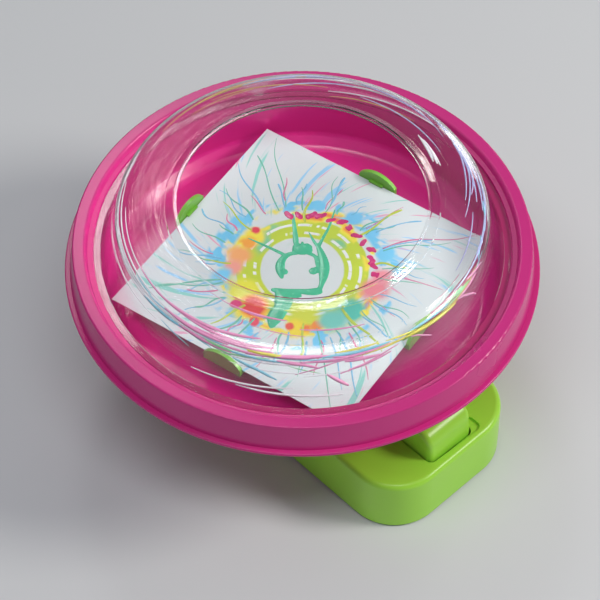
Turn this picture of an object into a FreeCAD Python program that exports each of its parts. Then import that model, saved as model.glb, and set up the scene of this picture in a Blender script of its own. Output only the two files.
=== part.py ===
import FreeCAD, Part
import math
import os

import Sketcher
from FreeCAD import Placement, Rotation, Vector

# Spin art machine: a press lever drives a plate that carries a square of paper inside a splash tray.
# Millimetres, +Z up. The origin is on the ground under the plate's axis, and the arm points along -Y.

DRIVING_DIMENSIONS = {
    # stance and base housing
    "base_bottom": 1.5,
    "foot_radius": 6.5,
    "foot_recess": 1.0,
    "front_foot_side": 31.0,
    "front_foot_reach": 95.0,
    "rear_foot_side": 28.0,
    "rear_foot_reach": 46.0,
    "arm_width": 92.0,
    "arm_reach": 114.0,
    "arm_corner": 26.5,
    "arm_rear": 26.0,
    "roof_top": 35.0,
    "housing_wall": 2.4,
    "roof_edge": 3.0,
    "turret_radius": 38.0,
    "turret_top": 64.5,
    "turret_wall": 2.5,
    "cover_thickness": 2.2,
    "cover_gap": 0.2,
    "boss_radius": 3.8,
    "screw_hole": 1.3,
    "screw_depth": 12.0,
    "screw_side": 38.5,
    "front_screw_reach": 70.0,
    "rear_screw_side": 38.0,
    "rear_screw_reach": 30.0,
    # press lever and its pivot
    "lever_width": 30.0,
    "lever_front": 108.0,
    "lever_back": 42.5,
    "lever_top": 52.5,
    "lever_skirt": 30.5,
    "lever_wall": 2.0,
    "lever_lean": 1.2,
    "lever_nose": 8.5,
    "lever_corner": 3.0,
    "lever_gap": 0.6,
    "trough_depth": 1.2,
    "trough_side": 4.6,
    "trough_front": 1.6,
    "pivot_reach": 47.0,
    "pivot_height": 40.0,
    "pin_radius": 2.0,
    "press_slack": 0.02,
    "turning_slack": 0.06,
    "ear_radius": 5.5,
    "ear_width": 4.0,
    "crank_radius": 20.0,
    "toe_radius": 2.3,
    "toe_width": 5.0,
    "spring_reach": 86.0,
    "spring_radius": 4.8,
    "spring_wire": 0.7,
    "spring_turns": 7.0,
    "spring_bottom": 6.0,
    "spring_top": 40.0,
    "spring_gap": 0.1,
    # gear train
    "module_size": 1.0,
    "addendum": 0.9,
    "dedendum": 1.2,
    "tooth_thinning": 0.12,
    "pinion_teeth": 12.0,
    "first_wheel_teeth": 36.0,
    "second_wheel_teeth": 36.0,
    "first_axle_side": 9.6,
    "first_axle_reach": 30.14,
    "second_axle_side": 22.0,
    "second_axle_reach": 9.59,
    "axle_radius": 1.5,
    "axle_bottom": 2.7,
    "boss_top": 7.6,
    "wheel_bottom": 8.0,
    "wheel_face": 4.0,
    "upper_wheel_bottom": 12.8,
    "upper_wheel_face": 2.6,
    "rack_bottom": 18.0,
    "rack_face": 4.0,
    "rack_back": 2.9,
    "rack_inner_end": 22.0,
    "rack_outer_end": 53.0,
    "rack_teeth": 5.0,
    "plate_bottom": 23.0,
    "plate_thickness": 2.0,
    "ratchet_teeth": 12.0,
    "cup_radius": 14.0,
    "cup_floor": 17.2,
    "cup_top": 22.4,
    # spindle, bushes, plate and paper
    "spindle_radius": 3.0,
    "spindle_top": 78.6,
    "clip_height": 58.0,
    "plate_turn": 12.0,
    "plate_radius": 60.0,
    "plate_top": 79.6,
    "plate_web": 2.4,
    "lobe_width": 22.0,
    "paper_side": 138.0,
    "paper_thickness": 0.4,
    "tab_height": 7.4,
    "tab_thickness": 2.0,
    "tab_gap": 0.4,
    # splash tray
    "tray_wall": 2.2,
    "bowl_floor": 67.0,
    "bowl_radius": 99.4,
    "seat_radius": 100.8,
    "seat_height": 99.4,
    "seat_outer": 105.3,
    "ledge_height": 101.0,
    "ledge_outer": 107.8,
    "ring_inner": 108.8,
    "ring_radius": 115.4,
    "ring_top": 104.4,
    "skirt_radius": 117.4,
    "lip_radius": 120.0,
    "lip_bottom": 87.0,
    "lip_thickness": 1.6,
    "collar_height": 73.5,
    # splash shield
    "shield_wall": 1.0,
    "shield_flange": 104.8,
    "shield_foot": 101.4,
    "shoulder_radius": 92.0,
    "shoulder_height": 127.6,
    "top_annulus": 86.5,
    "annulus_drop": 3.0,
    "mouth_radius": 62.0,
    "mouth_height": 133.4,
    "mouth_lip": 2.6,
    "mouth_rim": 6.0,
}

PRESSURE_ANGLE = math.radians(25)


class Size:
    """A length that knows its number and the spreadsheet formula it comes from."""

    def __init__(self, value, text):
        self.value = value
        self.text = text

    @staticmethod
    def of(other):
        return other if isinstance(other, Size) else Size(float(other), repr(float(other)))

    def _join(self, other, sign, value):
        return Size(value, "(%s %s %s)" % (self.text, sign, Size.of(other).text))

    def __add__(self, other):
        return self._join(other, "+", self.value + Size.of(other).value)

    def __sub__(self, other):
        return self._join(other, "-", self.value - Size.of(other).value)

    def __mul__(self, other):
        return self._join(other, "*", self.value * Size.of(other).value)

    def __truediv__(self, other):
        return self._join(other, "/", self.value / Size.of(other).value)

    def __neg__(self):
        return Size(0.0, "0") - self

    def __radd__(self, other):
        return Size.of(other) + self

    def __rsub__(self, other):
        return Size.of(other) - self

    def __rmul__(self, other):
        return Size.of(other) * self


class Sizes:
    """The driving dimensions by name, kept in the document's spreadsheet."""

    def __init__(self, doc, values):
        sheet = doc.addObject("Spreadsheet::Sheet", "dims")
        for row, (name, value) in enumerate(values.items(), start=1):
            sheet.set("A%d" % row, name)
            sheet.set("B%d" % row, str(value))
            sheet.setAlias("B%d" % row, name)
            setattr(self, name, Size(value, "dims." + name))


doc = FreeCAD.newDocument("spin_art_machine")
dims = Sizes(doc, DRIVING_DIMENSIONS)
doc.recompute()


# ---- drawing helpers ----

def bind(target, path, size):
    target.setExpression(path, Size.of(size).text)


def settle(feature):
    doc.recompute()
    if {"Invalid", "Error"} & set(feature.State) or not feature.Shape.isValid():
        raise ValueError(feature.Label + " fails")
    return feature


def new_body(name, x=0, y=0):
    body = doc.addObject("PartDesign::Body", name)
    body.Label = name
    if isinstance(x, Size):
        bind(body, "Placement.Base.x", x)
    if isinstance(y, Size):
        bind(body, "Placement.Base.y", y)
    return body


def new_sketch(body, plane_role, offset=0):
    sketch = body.newObject("Sketcher::SketchObject", body.Label + "_sketch")
    plane = next(o for o in body.Origin.OriginFeatures if o.Role == plane_role)
    sketch.AttachmentSupport = [(plane, "")]
    sketch.MapMode = "FlatFace"
    bind(sketch, "AttachmentOffset.Base.z", offset)
    return sketch


def fix_point(sketch, geometry, point, x, y):
    for kind, size in (("DistanceX", x), ("DistanceY", y)):
        size = Size.of(size)
        index = sketch.addConstraint(Sketcher.Constraint(kind, geometry, point, size.value))
        bind(sketch, "Constraints[%d]" % index, size)


def add_polygon(sketch, corners):
    corners = [(Size.of(x), Size.of(y)) for x, y in corners]
    points = [Vector(x.value, y.value, 0) for x, y in corners]
    first = len(sketch.Geometry)
    for start, end in zip(points, points[1:] + points[:1]):
        sketch.addGeometry(Part.LineSegment(start, end), False)
    for index, (x, y) in enumerate(corners):
        before = first + (index - 1) % len(corners)
        sketch.addConstraint(Sketcher.Constraint("Coincident", before, 2, first + index, 1))
        fix_point(sketch, first + index, 1, x, y)


def add_circle(sketch, radius, x=0, y=0):
    radius, x, y = Size.of(radius), Size.of(x), Size.of(y)
    circle = Part.Circle(Vector(x.value, y.value, 0), Vector(0, 0, 1), radius.value)
    geometry = sketch.addGeometry(circle, False)
    index = sketch.addConstraint(Sketcher.Constraint("Radius", geometry, radius.value))
    bind(sketch, "Constraints[%d]" % index, radius)
    fix_point(sketch, geometry, 3, x, y)


def box_corners(x_low, x_high, y_low, y_high):
    return [(x_low, y_low), (x_high, y_low), (x_high, y_high), (x_low, y_high)]


def polygon_sketch(body, plane_role, corners, offset=0):
    sketch = new_sketch(body, plane_role, offset)
    add_polygon(sketch, corners)
    return sketch


def circle_sketch(body, radius, offset=0, places=((0, 0),)):
    sketch = new_sketch(body, "XY_Plane", offset)
    for x, y in places:
        add_circle(sketch, radius, x, y)
    return sketch


def pad(body, sketch, length, midplane=False):
    feature = body.newObject("PartDesign::Pad", body.Label + "_pad")
    feature.Profile = sketch
    feature.Midplane = midplane
    bind(feature, "Length", length)
    return settle(feature)


def pocket(body, sketch, length, up=True, midplane=False):
    """Cuts along the sketch's normal when up is true, and against it otherwise."""
    before = body.Shape.Volume
    feature = body.newObject("PartDesign::Pocket", body.Label + "_pocket")
    feature.Profile = sketch
    feature.Reversed = up
    feature.Midplane = midplane
    bind(feature, "Length", length)
    settle(feature)
    if not body.Shape.Volume < before - 1e-6:
        raise ValueError(body.Label + ": a pocket cuts nothing")
    return feature


def revolve(body, corners):
    """Turns a closed outline of (radius, height) corners about the body's Z axis."""
    sketch = polygon_sketch(body, "XZ_Plane", corners)
    feature = body.newObject("PartDesign::Revolution", body.Label + "_revolve")
    feature.Profile = sketch
    feature.ReferenceAxis = (sketch, ["V_Axis"])
    feature.Angle = 360
    return settle(feature)


def repeat_round(body, feature, count):
    pattern = body.newObject("PartDesign::PolarPattern", body.Label + "_pattern")
    pattern.Originals = [feature]
    pattern.Axis = (feature.Profile[0], ["N_Axis"])
    pattern.Angle = 360
    pattern.Occurrences = int(Size.of(count).value)
    body.Tip = pattern
    return settle(pattern)


def round_edges(body, chosen, radius):
    feature = body.newObject("PartDesign::Fillet", body.Label + "_fillet")
    base = feature.BaseFeature or body.Tip
    names = ["Edge%d" % (i + 1) for i, edge in enumerate(base.Shape.Edges) if chosen(edge)]
    if not names:
        raise ValueError(body.Label + ": no edge to round")
    feature.Base = (base, names)
    bind(feature, "Radius", radius)
    return settle(feature)


def upright_edge(edge):
    direction = edge.Vertexes[-1].Point - edge.Vertexes[0].Point
    return direction.Length > 0.5 and abs(direction.z) > 0.999 * direction.Length


def near(value, size, slack=0.01):
    return abs(value - Size.of(size).value) < slack


def ring_edge(radius, height):
    """Chooses the circles of one radius at one height."""
    def chosen(edge):
        curve = edge.Curve
        return isinstance(curve, Part.Circle) and near(curve.Radius, radius) and near(curve.Center.z, height)
    return chosen


def group(name, pattern_body, places):
    """One node of equal, separate solids, copied from a body to each place."""
    copies = []
    for x, y in places:
        copy = pattern_body.Shape.copy()
        copy.translate(Vector(Size.of(x).value, Size.of(y).value, 0))
        copies.append(copy)
    node = doc.addObject("Part::Feature", name)
    node.Label = name
    node.Shape = Part.makeCompound(copies)
    node.Placement = Placement()
    return node


# ---- gear helpers ----

def involute_point(base_radius, radius, start_angle):
    """A point of the involute at a radius, with the tooth's centre line along +X."""
    roll = math.sqrt(max((radius / base_radius) ** 2 - 1, 0))
    angle = start_angle - (roll - math.atan(roll))
    return Vector(radius * math.cos(angle), radius * math.sin(angle), 0)


def add_tooth(body, teeth, bottom, face, phase):
    """Pads one tooth whose centre line is at the phase angle, then repeats it round the axis."""
    module = dims.module_size.value
    pitch_radius = module * teeth / 2
    base_radius = pitch_radius * math.cos(PRESSURE_ANGLE)
    tip_radius = pitch_radius + dims.addendum.value
    root_radius = pitch_radius - dims.dedendum.value
    form_radius = max(base_radius, root_radius)
    half_tooth = (math.pi * module / 2 - dims.tooth_thinning.value) / (2 * pitch_radius)
    start_angle = half_tooth + math.tan(PRESSURE_ANGLE) - PRESSURE_ANGLE
    flank = [involute_point(base_radius, r, start_angle)
             for r in (form_radius, (form_radius + tip_radius) / 2, tip_radius)]
    foot = flank[0] * ((root_radius - 0.3 * module) / flank[0].Length)
    mirrored = [Vector(p.x, -p.y, 0) for p in flank]
    low_foot = Vector(foot.x, -foot.y, 0)
    turn = Rotation(Vector(0, 0, 1), math.degrees(phase))
    flank, mirrored = [[turn.multVec(p) for p in side] for side in (flank, mirrored)]
    foot, low_foot = turn.multVec(foot), turn.multVec(low_foot)
    outline = [
        Part.LineSegment(foot, flank[0]),
        Part.Arc(*flank),
        Part.LineSegment(flank[2], mirrored[2]),
        Part.Arc(mirrored[2], mirrored[1], mirrored[0]),
        Part.LineSegment(mirrored[0], low_foot),
        Part.LineSegment(low_foot, foot),
    ]
    sketch = new_sketch(body, "XY_Plane", bottom)
    sketch.addGeometry(outline, False)
    repeat_round(body, pad(body, sketch, face), teeth)


def meshed_phase(phase, teeth, own_teeth, direction):
    """The phase of a gear that meshes with one of the given phase, which lies against the direction."""
    turns = (phase - direction) * teeth / (2 * math.pi)
    return direction + math.pi + (0.5 - turns) * 2 * math.pi / own_teeth


def direction_between(start, end):
    return math.atan2(end[1].value - start[1].value, end[0].value - start[0].value)


def root_of(teeth):
    return dims.module_size * teeth / 2 - dims.dedendum


PINION = int(dims.pinion_teeth.value)
FIRST_WHEEL = int(dims.first_wheel_teeth.value)
SECOND_WHEEL = int(dims.second_wheel_teeth.value)
SPINDLE_PLACE = (Size.of(0), Size.of(0))
FIRST_AXLE = (dims.first_axle_side, -dims.first_axle_reach)
SECOND_AXLE = (dims.second_axle_side, -dims.second_axle_reach)

# A gap of the first pinion faces the rack, and the other phases follow round the train.
FIRST_PINION_PHASE = math.pi + math.pi / PINION
SECOND_PINION_PHASE = meshed_phase(0, FIRST_WHEEL, PINION, direction_between(FIRST_AXLE, SECOND_AXLE))
CLUTCH_PINION_PHASE = meshed_phase(0, SECOND_WHEEL, PINION, direction_between(SECOND_AXLE, SPINDLE_PLACE))

COVER_TOP = dims.base_bottom + dims.cover_thickness
HALF_ARM = dims.arm_width / 2
FEET = [
    (-dims.front_foot_side, -dims.front_foot_reach),
    (dims.front_foot_side, -dims.front_foot_reach),
    (-dims.rear_foot_side, dims.rear_foot_reach),
    (dims.rear_foot_side, dims.rear_foot_reach),
]
COVER_SCREWS = [
    (-dims.screw_side, -dims.front_screw_reach),
    (dims.screw_side, -dims.front_screw_reach),
    (-dims.rear_screw_side, dims.rear_screw_reach),
    (dims.rear_screw_side, dims.rear_screw_reach),
]
PLATE_POSTS = [(Size.of(-20), Size.of(-22)), (Size.of(6), Size.of(27)), (Size.of(36), Size.of(-40))]
PEG_CIRCLE = 26.0
PEGS = [(PEG_CIRCLE * math.cos(math.radians(a)), PEG_CIRCLE * math.sin(math.radians(a))) for a in (90, 210, 330)]


# ---- base ----

def arm_outline(body, inset, bottom):
    """The base's plan: square shoulders with round corners in front, a half circle behind."""
    sketch = new_sketch(body, "XY_Plane", bottom)
    half, corner = (HALF_ARM - inset).value, (dims.arm_corner - inset).value
    front, rear = (-dims.arm_reach + inset).value, dims.arm_rear.value
    bend = corner * (1 - math.sqrt(0.5))
    outline = [
        Part.LineSegment(Vector(-half, rear, 0), Vector(-half, front + corner, 0)),
        Part.Arc(Vector(-half, front + corner, 0), Vector(-half + bend, front + bend, 0), Vector(corner - half, front, 0)),
        Part.LineSegment(Vector(corner - half, front, 0), Vector(half - corner, front, 0)),
        Part.Arc(Vector(half - corner, front, 0), Vector(half - bend, front + bend, 0), Vector(half, front + corner, 0)),
        Part.LineSegment(Vector(half, front + corner, 0), Vector(half, rear, 0)),
        Part.Arc(Vector(half, rear, 0), Vector(0, rear + half, 0), Vector(-half, rear, 0)),
    ]
    sketch.addGeometry(outline, False)
    return sketch


def build_base_housing():
    body = new_body("base_housing")
    height = dims.roof_top - dims.base_bottom
    pad(body, arm_outline(body, Size.of(0), dims.base_bottom), height)
    round_edges(body, lambda e: all(near(v.Z, dims.roof_top) for v in e.Vertexes), dims.roof_edge)
    pad(body, circle_sketch(body, dims.turret_radius, dims.roof_top - dims.roof_edge),
        dims.turret_top - dims.roof_top + dims.roof_edge)
    pocket(body, arm_outline(body, dims.housing_wall, dims.base_bottom), height - dims.housing_wall)
    inner_turret = dims.turret_top - dims.turret_wall - dims.base_bottom
    pocket(body, circle_sketch(body, dims.turret_radius - dims.turret_wall, dims.base_bottom), inner_turret)
    round_edges(body, ring_edge(dims.turret_radius, dims.turret_top), 1.2)
    add_screw_bosses(body)
    cut_lever_opening(body)
    add_pivot_ears(body)
    cut_turret_roof(body)
    return body


def add_screw_bosses(body):
    bottom = COVER_TOP
    pad(body, circle_sketch(body, dims.boss_radius, bottom, COVER_SCREWS), dims.roof_top - 1 - bottom)
    pocket(body, circle_sketch(body, dims.screw_hole, bottom, COVER_SCREWS), dims.screw_depth)


def cut_lever_opening(body):
    """The slot the lever sinks into, with a shallow recess that widens towards its +X front corner."""
    half = dims.lever_width / 2 + dims.lever_gap
    front = -(dims.lever_front + dims.lever_gap + 0.2)
    back = -(dims.turret_radius + 2.5)
    opening = box_corners(-half, half, front, back)
    pocket(body, polygon_sketch(body, "XY_Plane", opening, dims.roof_top), dims.housing_wall + 0.5, up=False)
    round_edges(body, lambda e: upright_edge(e) and near(abs(e.Vertexes[0].X), half)
                and near(e.Vertexes[0].Y, front), dims.lever_corner + 0.6)
    trough_end = half + dims.trough_side
    trough = [(3.0 - half, front + 3.0), (6.0 - half, front - 0.1), (trough_end, front - dims.trough_front),
              (trough_end, front + 8.5), (half - 2.0, front + 8.5)]
    pocket(body, polygon_sketch(body, "XY_Plane", trough, dims.roof_top), dims.trough_depth, up=False)
    round_edges(body, lambda e: upright_edge(e) and near(e.Vertexes[0].X, trough_end), 3.2)


def add_pivot_ears(body):
    inner = dims.lever_width / 2 + dims.lever_gap
    for side in (-1, 1):
        centre = inner + dims.ear_width / 2
        reach, height, radius = -dims.pivot_reach, dims.pivot_height, dims.ear_radius
        sketch = new_sketch(body, "YZ_Plane", centre if side > 0 else -centre)
        foot = dims.roof_top - 1.0
        left, right = (reach - radius), (reach + radius)
        y0, y1, zf, zc = left.value, right.value, foot.value, height.value
        outline = [
            Part.LineSegment(Vector(y0, zf, 0), Vector(y1, zf, 0)),
            Part.LineSegment(Vector(y1, zf, 0), Vector(y1, zc, 0)),
            Part.Arc(Vector(y1, zc, 0), Vector((y0 + y1) / 2, zc + radius.value, 0), Vector(y0, zc, 0)),
            Part.LineSegment(Vector(y0, zc, 0), Vector(y0, zf, 0)),
        ]
        sketch.addGeometry(outline, False)
        pad(body, sketch, dims.ear_width, midplane=True)
    hole = new_sketch(body, "YZ_Plane")
    add_circle(hole, dims.pin_radius + dims.press_slack, -dims.pivot_reach, dims.pivot_height)
    pocket(body, hole, dims.arm_width, midplane=True)


def cut_turret_roof(body):
    bottom = dims.turret_top - dims.turret_wall - 1.0
    pocket(body, circle_sketch(body, Size.of(6.02), bottom), dims.turret_wall + 2.0)
    pocket(body, circle_sketch(body, Size.of(3.6), bottom, PEGS), dims.turret_wall + 2.0)


def build_bottom_cover():
    body = new_body("bottom_cover")
    inset = dims.housing_wall + dims.cover_gap
    pad(body, arm_outline(body, inset, dims.base_bottom), dims.cover_thickness)
    top = COVER_TOP
    pad(body, circle_sketch(body, Size.of(7.0), dims.base_bottom + 1.0), dims.boss_top - dims.base_bottom - 1.0)
    pad(body, circle_sketch(body, Size.of(4.0), dims.base_bottom + 1.0, [FIRST_AXLE, SECOND_AXLE]),
        dims.boss_top - dims.base_bottom - 1.0)
    pad(body, circle_sketch(body, Size.of(3.6), dims.base_bottom + 1.0, PLATE_POSTS),
        dims.plate_bottom - dims.base_bottom - 1.0)
    shelf_reach = dims.rack_outer_end + 3.0
    shelf = box_corners(Size.of(-5), Size.of(5), -shelf_reach, -(shelf_reach - 6.0))
    pad(body, polygon_sketch(body, "XY_Plane", shelf, top - 1.0), dims.rack_bottom - 0.2 - top + 1.0)
    spring_place = [(0, -dims.spring_reach)]
    pad(body, circle_sketch(body, Size.of(8.0), top - 1.0, spring_place), dims.spring_bottom - top + 1.0)
    pad(body, circle_sketch(body, Size.of(3.4), top - 1.0, spring_place), dims.spring_bottom + 6.0 - top + 1.0)
    pocket(body, circle_sketch(body, Size.of(5.02), top), Size.of(8.0))
    pocket(body, circle_sketch(body, dims.axle_radius + dims.press_slack, dims.axle_bottom,
                               [FIRST_AXLE, SECOND_AXLE]), Size.of(8.0))
    pocket(body, circle_sketch(body, dims.screw_hole, dims.plate_bottom - 9.0, PLATE_POSTS), Size.of(12.0))
    pocket(body, circle_sketch(body, dims.screw_hole + 0.4, dims.base_bottom - 1.0, COVER_SCREWS), Size.of(5.0))
    pocket(body, circle_sketch(body, Size.of(3.2), dims.base_bottom - 1.0, COVER_SCREWS), Size.of(2.2))
    pocket(body, circle_sketch(body, dims.foot_radius, dims.base_bottom - 1.0, FEET), dims.foot_recess + 1.0)
    return body


def build_rubber_feet():
    foot = doc.addObject("PartDesign::Body", "foot_pattern")
    foot.Label = "foot_pattern"
    radius, top = dims.foot_radius, dims.base_bottom + dims.foot_recess
    revolve(foot, [(0, 0), (radius - 1.2, 0), (radius - 0.05, 1.0), (radius - 0.05, top), (0, top)])
    return group("rubber_feet", foot, FEET)


def screw_pattern(name, head_bottom, head_radius, head_height, shank_length, upwards):
    """A pan-head screw with a cross slot. It points up or down from its head."""
    body = doc.addObject("PartDesign::Body", name)
    body.Label = name
    shank = dims.screw_hole - 0.02
    if upwards:
        low, high, end = head_bottom, head_bottom + head_height, head_bottom + head_height + shank_length
        corners = [(0, low), (head_radius - 0.5, low), (head_radius, low + 0.5), (head_radius, high),
                   (shank, high), (shank, end - 1.0), (0.4, end), (0, end)]
    else:
        low, high, end = head_bottom, head_bottom + head_height, head_bottom - shank_length
        corners = [(0, end), (0.4, end), (shank, end + 1.0), (shank, low), (head_radius, low),
                   (head_radius, high - 0.5), (head_radius - 0.5, high), (0, high)]
    revolve(body, corners)
    slot_half, arm = 0.35, head_radius * 0.62
    for wide, deep in ((arm, slot_half), (slot_half, arm)):
        level = head_bottom if upwards else head_bottom + head_height
        slot = polygon_sketch(body, "XY_Plane", box_corners(-wide, wide, -deep, deep), level)
        pocket(body, slot, Size.of(0.8), up=upwards)
    return body


def build_screws():
    cover = screw_pattern("cover_screw_pattern", dims.base_bottom + 0.1, 3.0, 1.1, Size.of(8.0), True)
    group("cover_screws", cover, COVER_SCREWS)
    plate_top = dims.plate_bottom + dims.plate_thickness
    plate = screw_pattern("plate_screw_pattern", plate_top, 3.0, 1.8, Size.of(7.0), False)
    group("gear_plate_screws", plate, PLATE_POSTS)
    under_peg = dims.turret_top - dims.turret_wall - 2.0
    tray = screw_pattern("tray_screw_pattern", under_peg, 4.6, 2.0, Size.of(4.0), True)
    group("tray_screws", tray, PEGS)


def build_gear_plate():
    body = new_body("gear_plate")
    corners = [(-26, -29), (30, -46), (42, -46), (42, -4), (13, 33), (0, 33), (-26, -17)]
    pad(body, polygon_sketch(body, "XY_Plane", corners, dims.plate_bottom), dims.plate_thickness)
    round_edges(body, upright_edge, 4.0)
    back = -dims.rack_back - 0.3
    wall = box_corners(back - 3.8, back, Size.of(-33.5), Size.of(-19.5))
    lip_bottom = dims.upper_wheel_bottom + dims.upper_wheel_face + 0.6
    pad(body, polygon_sketch(body, "XY_Plane", wall, lip_bottom), dims.plate_bottom - lip_bottom + 1.0)
    lip = box_corners(back - 3.8, back + 4.2, Size.of(-33.5), Size.of(-19.5))
    pad(body, polygon_sketch(body, "XY_Plane", lip, lip_bottom), dims.rack_bottom - 0.3 - lip_bottom)
    low = dims.plate_bottom - 1.0
    through = dims.plate_thickness + 2.0
    pocket(body, circle_sketch(body, dims.spindle_radius + 1.0, low), through)
    pocket(body, circle_sketch(body, dims.axle_radius + dims.press_slack, low, [FIRST_AXLE, SECOND_AXLE]), through)
    pocket(body, circle_sketch(body, dims.screw_hole + 0.3, low, PLATE_POSTS), through)
    return body


def build_gear_axles():
    axle = doc.addObject("PartDesign::Body", "axle_pattern")
    axle.Label = "axle_pattern"
    radius, bottom, top = dims.axle_radius, dims.axle_bottom, dims.plate_bottom + dims.plate_thickness
    revolve(axle, [(0, bottom), (radius - 0.3, bottom), (radius, bottom + 0.3), (radius, top - 0.3),
                   (radius - 0.3, top), (0, top)])
    return group("gear_axles", axle, [FIRST_AXLE, SECOND_AXLE])


def build_bushes():
    bore = dims.spindle_radius + 0.05
    lower = new_body("lower_bush")
    revolve(lower, [(bore, COVER_TOP), (5.0, COVER_TOP), (5.0, dims.boss_top), (bore, dims.boss_top)])
    upper = new_body("upper_bush")
    roof_bottom = dims.turret_top - dims.turret_wall
    revolve(upper, [(bore, roof_bottom - 1.6), (8.0, roof_bottom - 1.6), (8.0, roof_bottom), (6.0, roof_bottom),
                    (6.0, dims.turret_top), (bore, dims.turret_top)])


# ---- lever ----

def lever_side(inset, bottom):
    """The lever's side outline: a leaning front, a large round nose and a flat top."""
    front = (-dims.lever_front + inset).value
    top = (dims.lever_top - inset).value
    back = (-dims.lever_back - inset).value
    low = Size.of(bottom).value
    lean = dims.lever_lean.value
    nose = (dims.lever_nose - inset).value
    face_top = Vector(front + lean, top - nose, 0)
    nose_end = Vector(front + lean + nose, top, 0)
    bend = nose * (1 - math.sqrt(0.5))
    nose_middle = Vector(front + lean + bend, top - bend, 0)
    heel_end = Vector(back, low, 0)
    return [
        Part.LineSegment(Vector(front, low, 0), face_top),
        Part.Arc(face_top, nose_middle, nose_end),
        Part.LineSegment(nose_end, Vector(back, top, 0)),
        Part.LineSegment(Vector(back, top, 0), heel_end),
        Part.LineSegment(heel_end, Vector(front, low, 0)),
    ]


def build_press_lever():
    body = new_body("press_lever")
    outer = new_sketch(body, "YZ_Plane")
    outer.addGeometry(lever_side(Size.of(0), dims.lever_skirt), False)
    pad(body, outer, dims.lever_width, midplane=True)
    round_edges(body, front_corner_edge, dims.lever_corner)
    inner = new_sketch(body, "YZ_Plane")
    inner.addGeometry(lever_side(dims.lever_wall, dims.lever_skirt - 1.0), False)
    pocket(body, inner, dims.lever_width - dims.lever_wall * 2, midplane=True)
    add_lever_fittings(body)
    return body


def front_corner_edge(edge):
    """The upright front edges of the lever's two sides, round the nose to the top."""
    half = dims.lever_width.value / 2
    on_side = all(near(abs(v.X), half) for v in edge.Vertexes)
    return on_side and all(v.Y < -dims.lever_back.value - 1 for v in edge.Vertexes[:1]) and not (
        all(near(v.Z, dims.lever_skirt) for v in edge.Vertexes))


def add_lever_fittings(body):
    reach, height = -dims.pivot_reach, dims.pivot_height
    inner_width = dims.lever_width - dims.lever_wall
    barrel = new_sketch(body, "YZ_Plane")
    add_circle(barrel, dims.pin_radius + 2.4, reach, height)
    pad(body, barrel, inner_width, midplane=True)
    leg = new_sketch(body, "YZ_Plane")
    toe_height = height - dims.crank_radius
    half_leg = 1.7
    add_polygon(leg, box_corners(reach - half_leg, reach + half_leg, toe_height, height))
    pad(body, leg, dims.toe_width, midplane=True)
    toe = new_sketch(body, "YZ_Plane")
    add_circle(toe, dims.toe_radius, reach, toe_height)
    pad(body, toe, dims.toe_width, midplane=True)
    bore = new_sketch(body, "YZ_Plane")
    add_circle(bore, dims.pin_radius + dims.turning_slack, reach, height)
    pocket(body, bore, dims.arm_width, midplane=True)
    add_spring_seat(body)
    add_stop_hooks(body)


def add_spring_seat(body):
    half = dims.lever_width / 2 - dims.lever_wall / 2
    seat = box_corners(-half, half, -(dims.spring_reach + 7.0), -(dims.spring_reach - 7.0))
    pad(body, polygon_sketch(body, "XY_Plane", seat, dims.spring_top), Size.of(2.0))
    rib = box_corners(-1.0, 1.0, -(dims.spring_reach + 7.0), -(dims.spring_reach - 7.0))
    rib_top = dims.lever_top - dims.lever_wall / 2
    pad(body, polygon_sketch(body, "XY_Plane", rib, dims.spring_top + 1.0), rib_top - dims.spring_top - 1.0)
    guide = circle_sketch(body, Size.of(3.2), dims.spring_top - 5.0, [(0, -dims.spring_reach)])
    pad(body, guide, Size.of(6.0))


def add_stop_hooks(body):
    """Two hooks catch under the roof and hold the lever up against its spring."""
    front = -dims.lever_front
    hook_top = dims.roof_top - dims.housing_wall - 0.4
    for low, high in ((-12, -4), (4, 12)):
        hook = box_corners(low, high, front - 2.3, front + 1.0)
        pad(body, polygon_sketch(body, "XY_Plane", hook, dims.lever_skirt - 1.5), hook_top - dims.lever_skirt + 1.5)


def build_lever_pin():
    pin = doc.addObject("Part::Cylinder", "lever_pin")
    pin.Label = "lever_pin"
    half = dims.lever_width / 2 + dims.lever_gap + dims.ear_width + 0.6
    bind(pin, "Radius", dims.pin_radius)
    bind(pin, "Height", half * 2)
    bind(pin, "Placement.Base.x", -half)
    bind(pin, "Placement.Base.y", -dims.pivot_reach)
    bind(pin, "Placement.Base.z", dims.pivot_height)
    bind(pin, "Placement.Rotation.Axis.y", 1)
    bind(pin, "Placement.Rotation.Axis.z", 0)
    bind(pin, "Placement.Rotation.Angle", 90)
    return pin


def build_return_spring():
    body = new_body("return_spring", y=-dims.spring_reach)
    wire, gap = dims.spring_wire, dims.spring_gap
    section = new_sketch(body, "XZ_Plane")
    add_circle(section, wire, dims.spring_radius, dims.spring_bottom + wire + gap)
    coil = body.newObject("PartDesign::AdditiveHelix", "coil")
    coil.Profile = section
    coil.ReferenceAxis = (section, ["V_Axis"])
    coil.Mode = "height-turns-angle"
    bind(coil, "Height", dims.spring_top - dims.spring_bottom - (wire + gap) * 2)
    bind(coil, "Turns", dims.spring_turns)
    doc.recompute()
    return body


# ---- gear train ----

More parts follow.
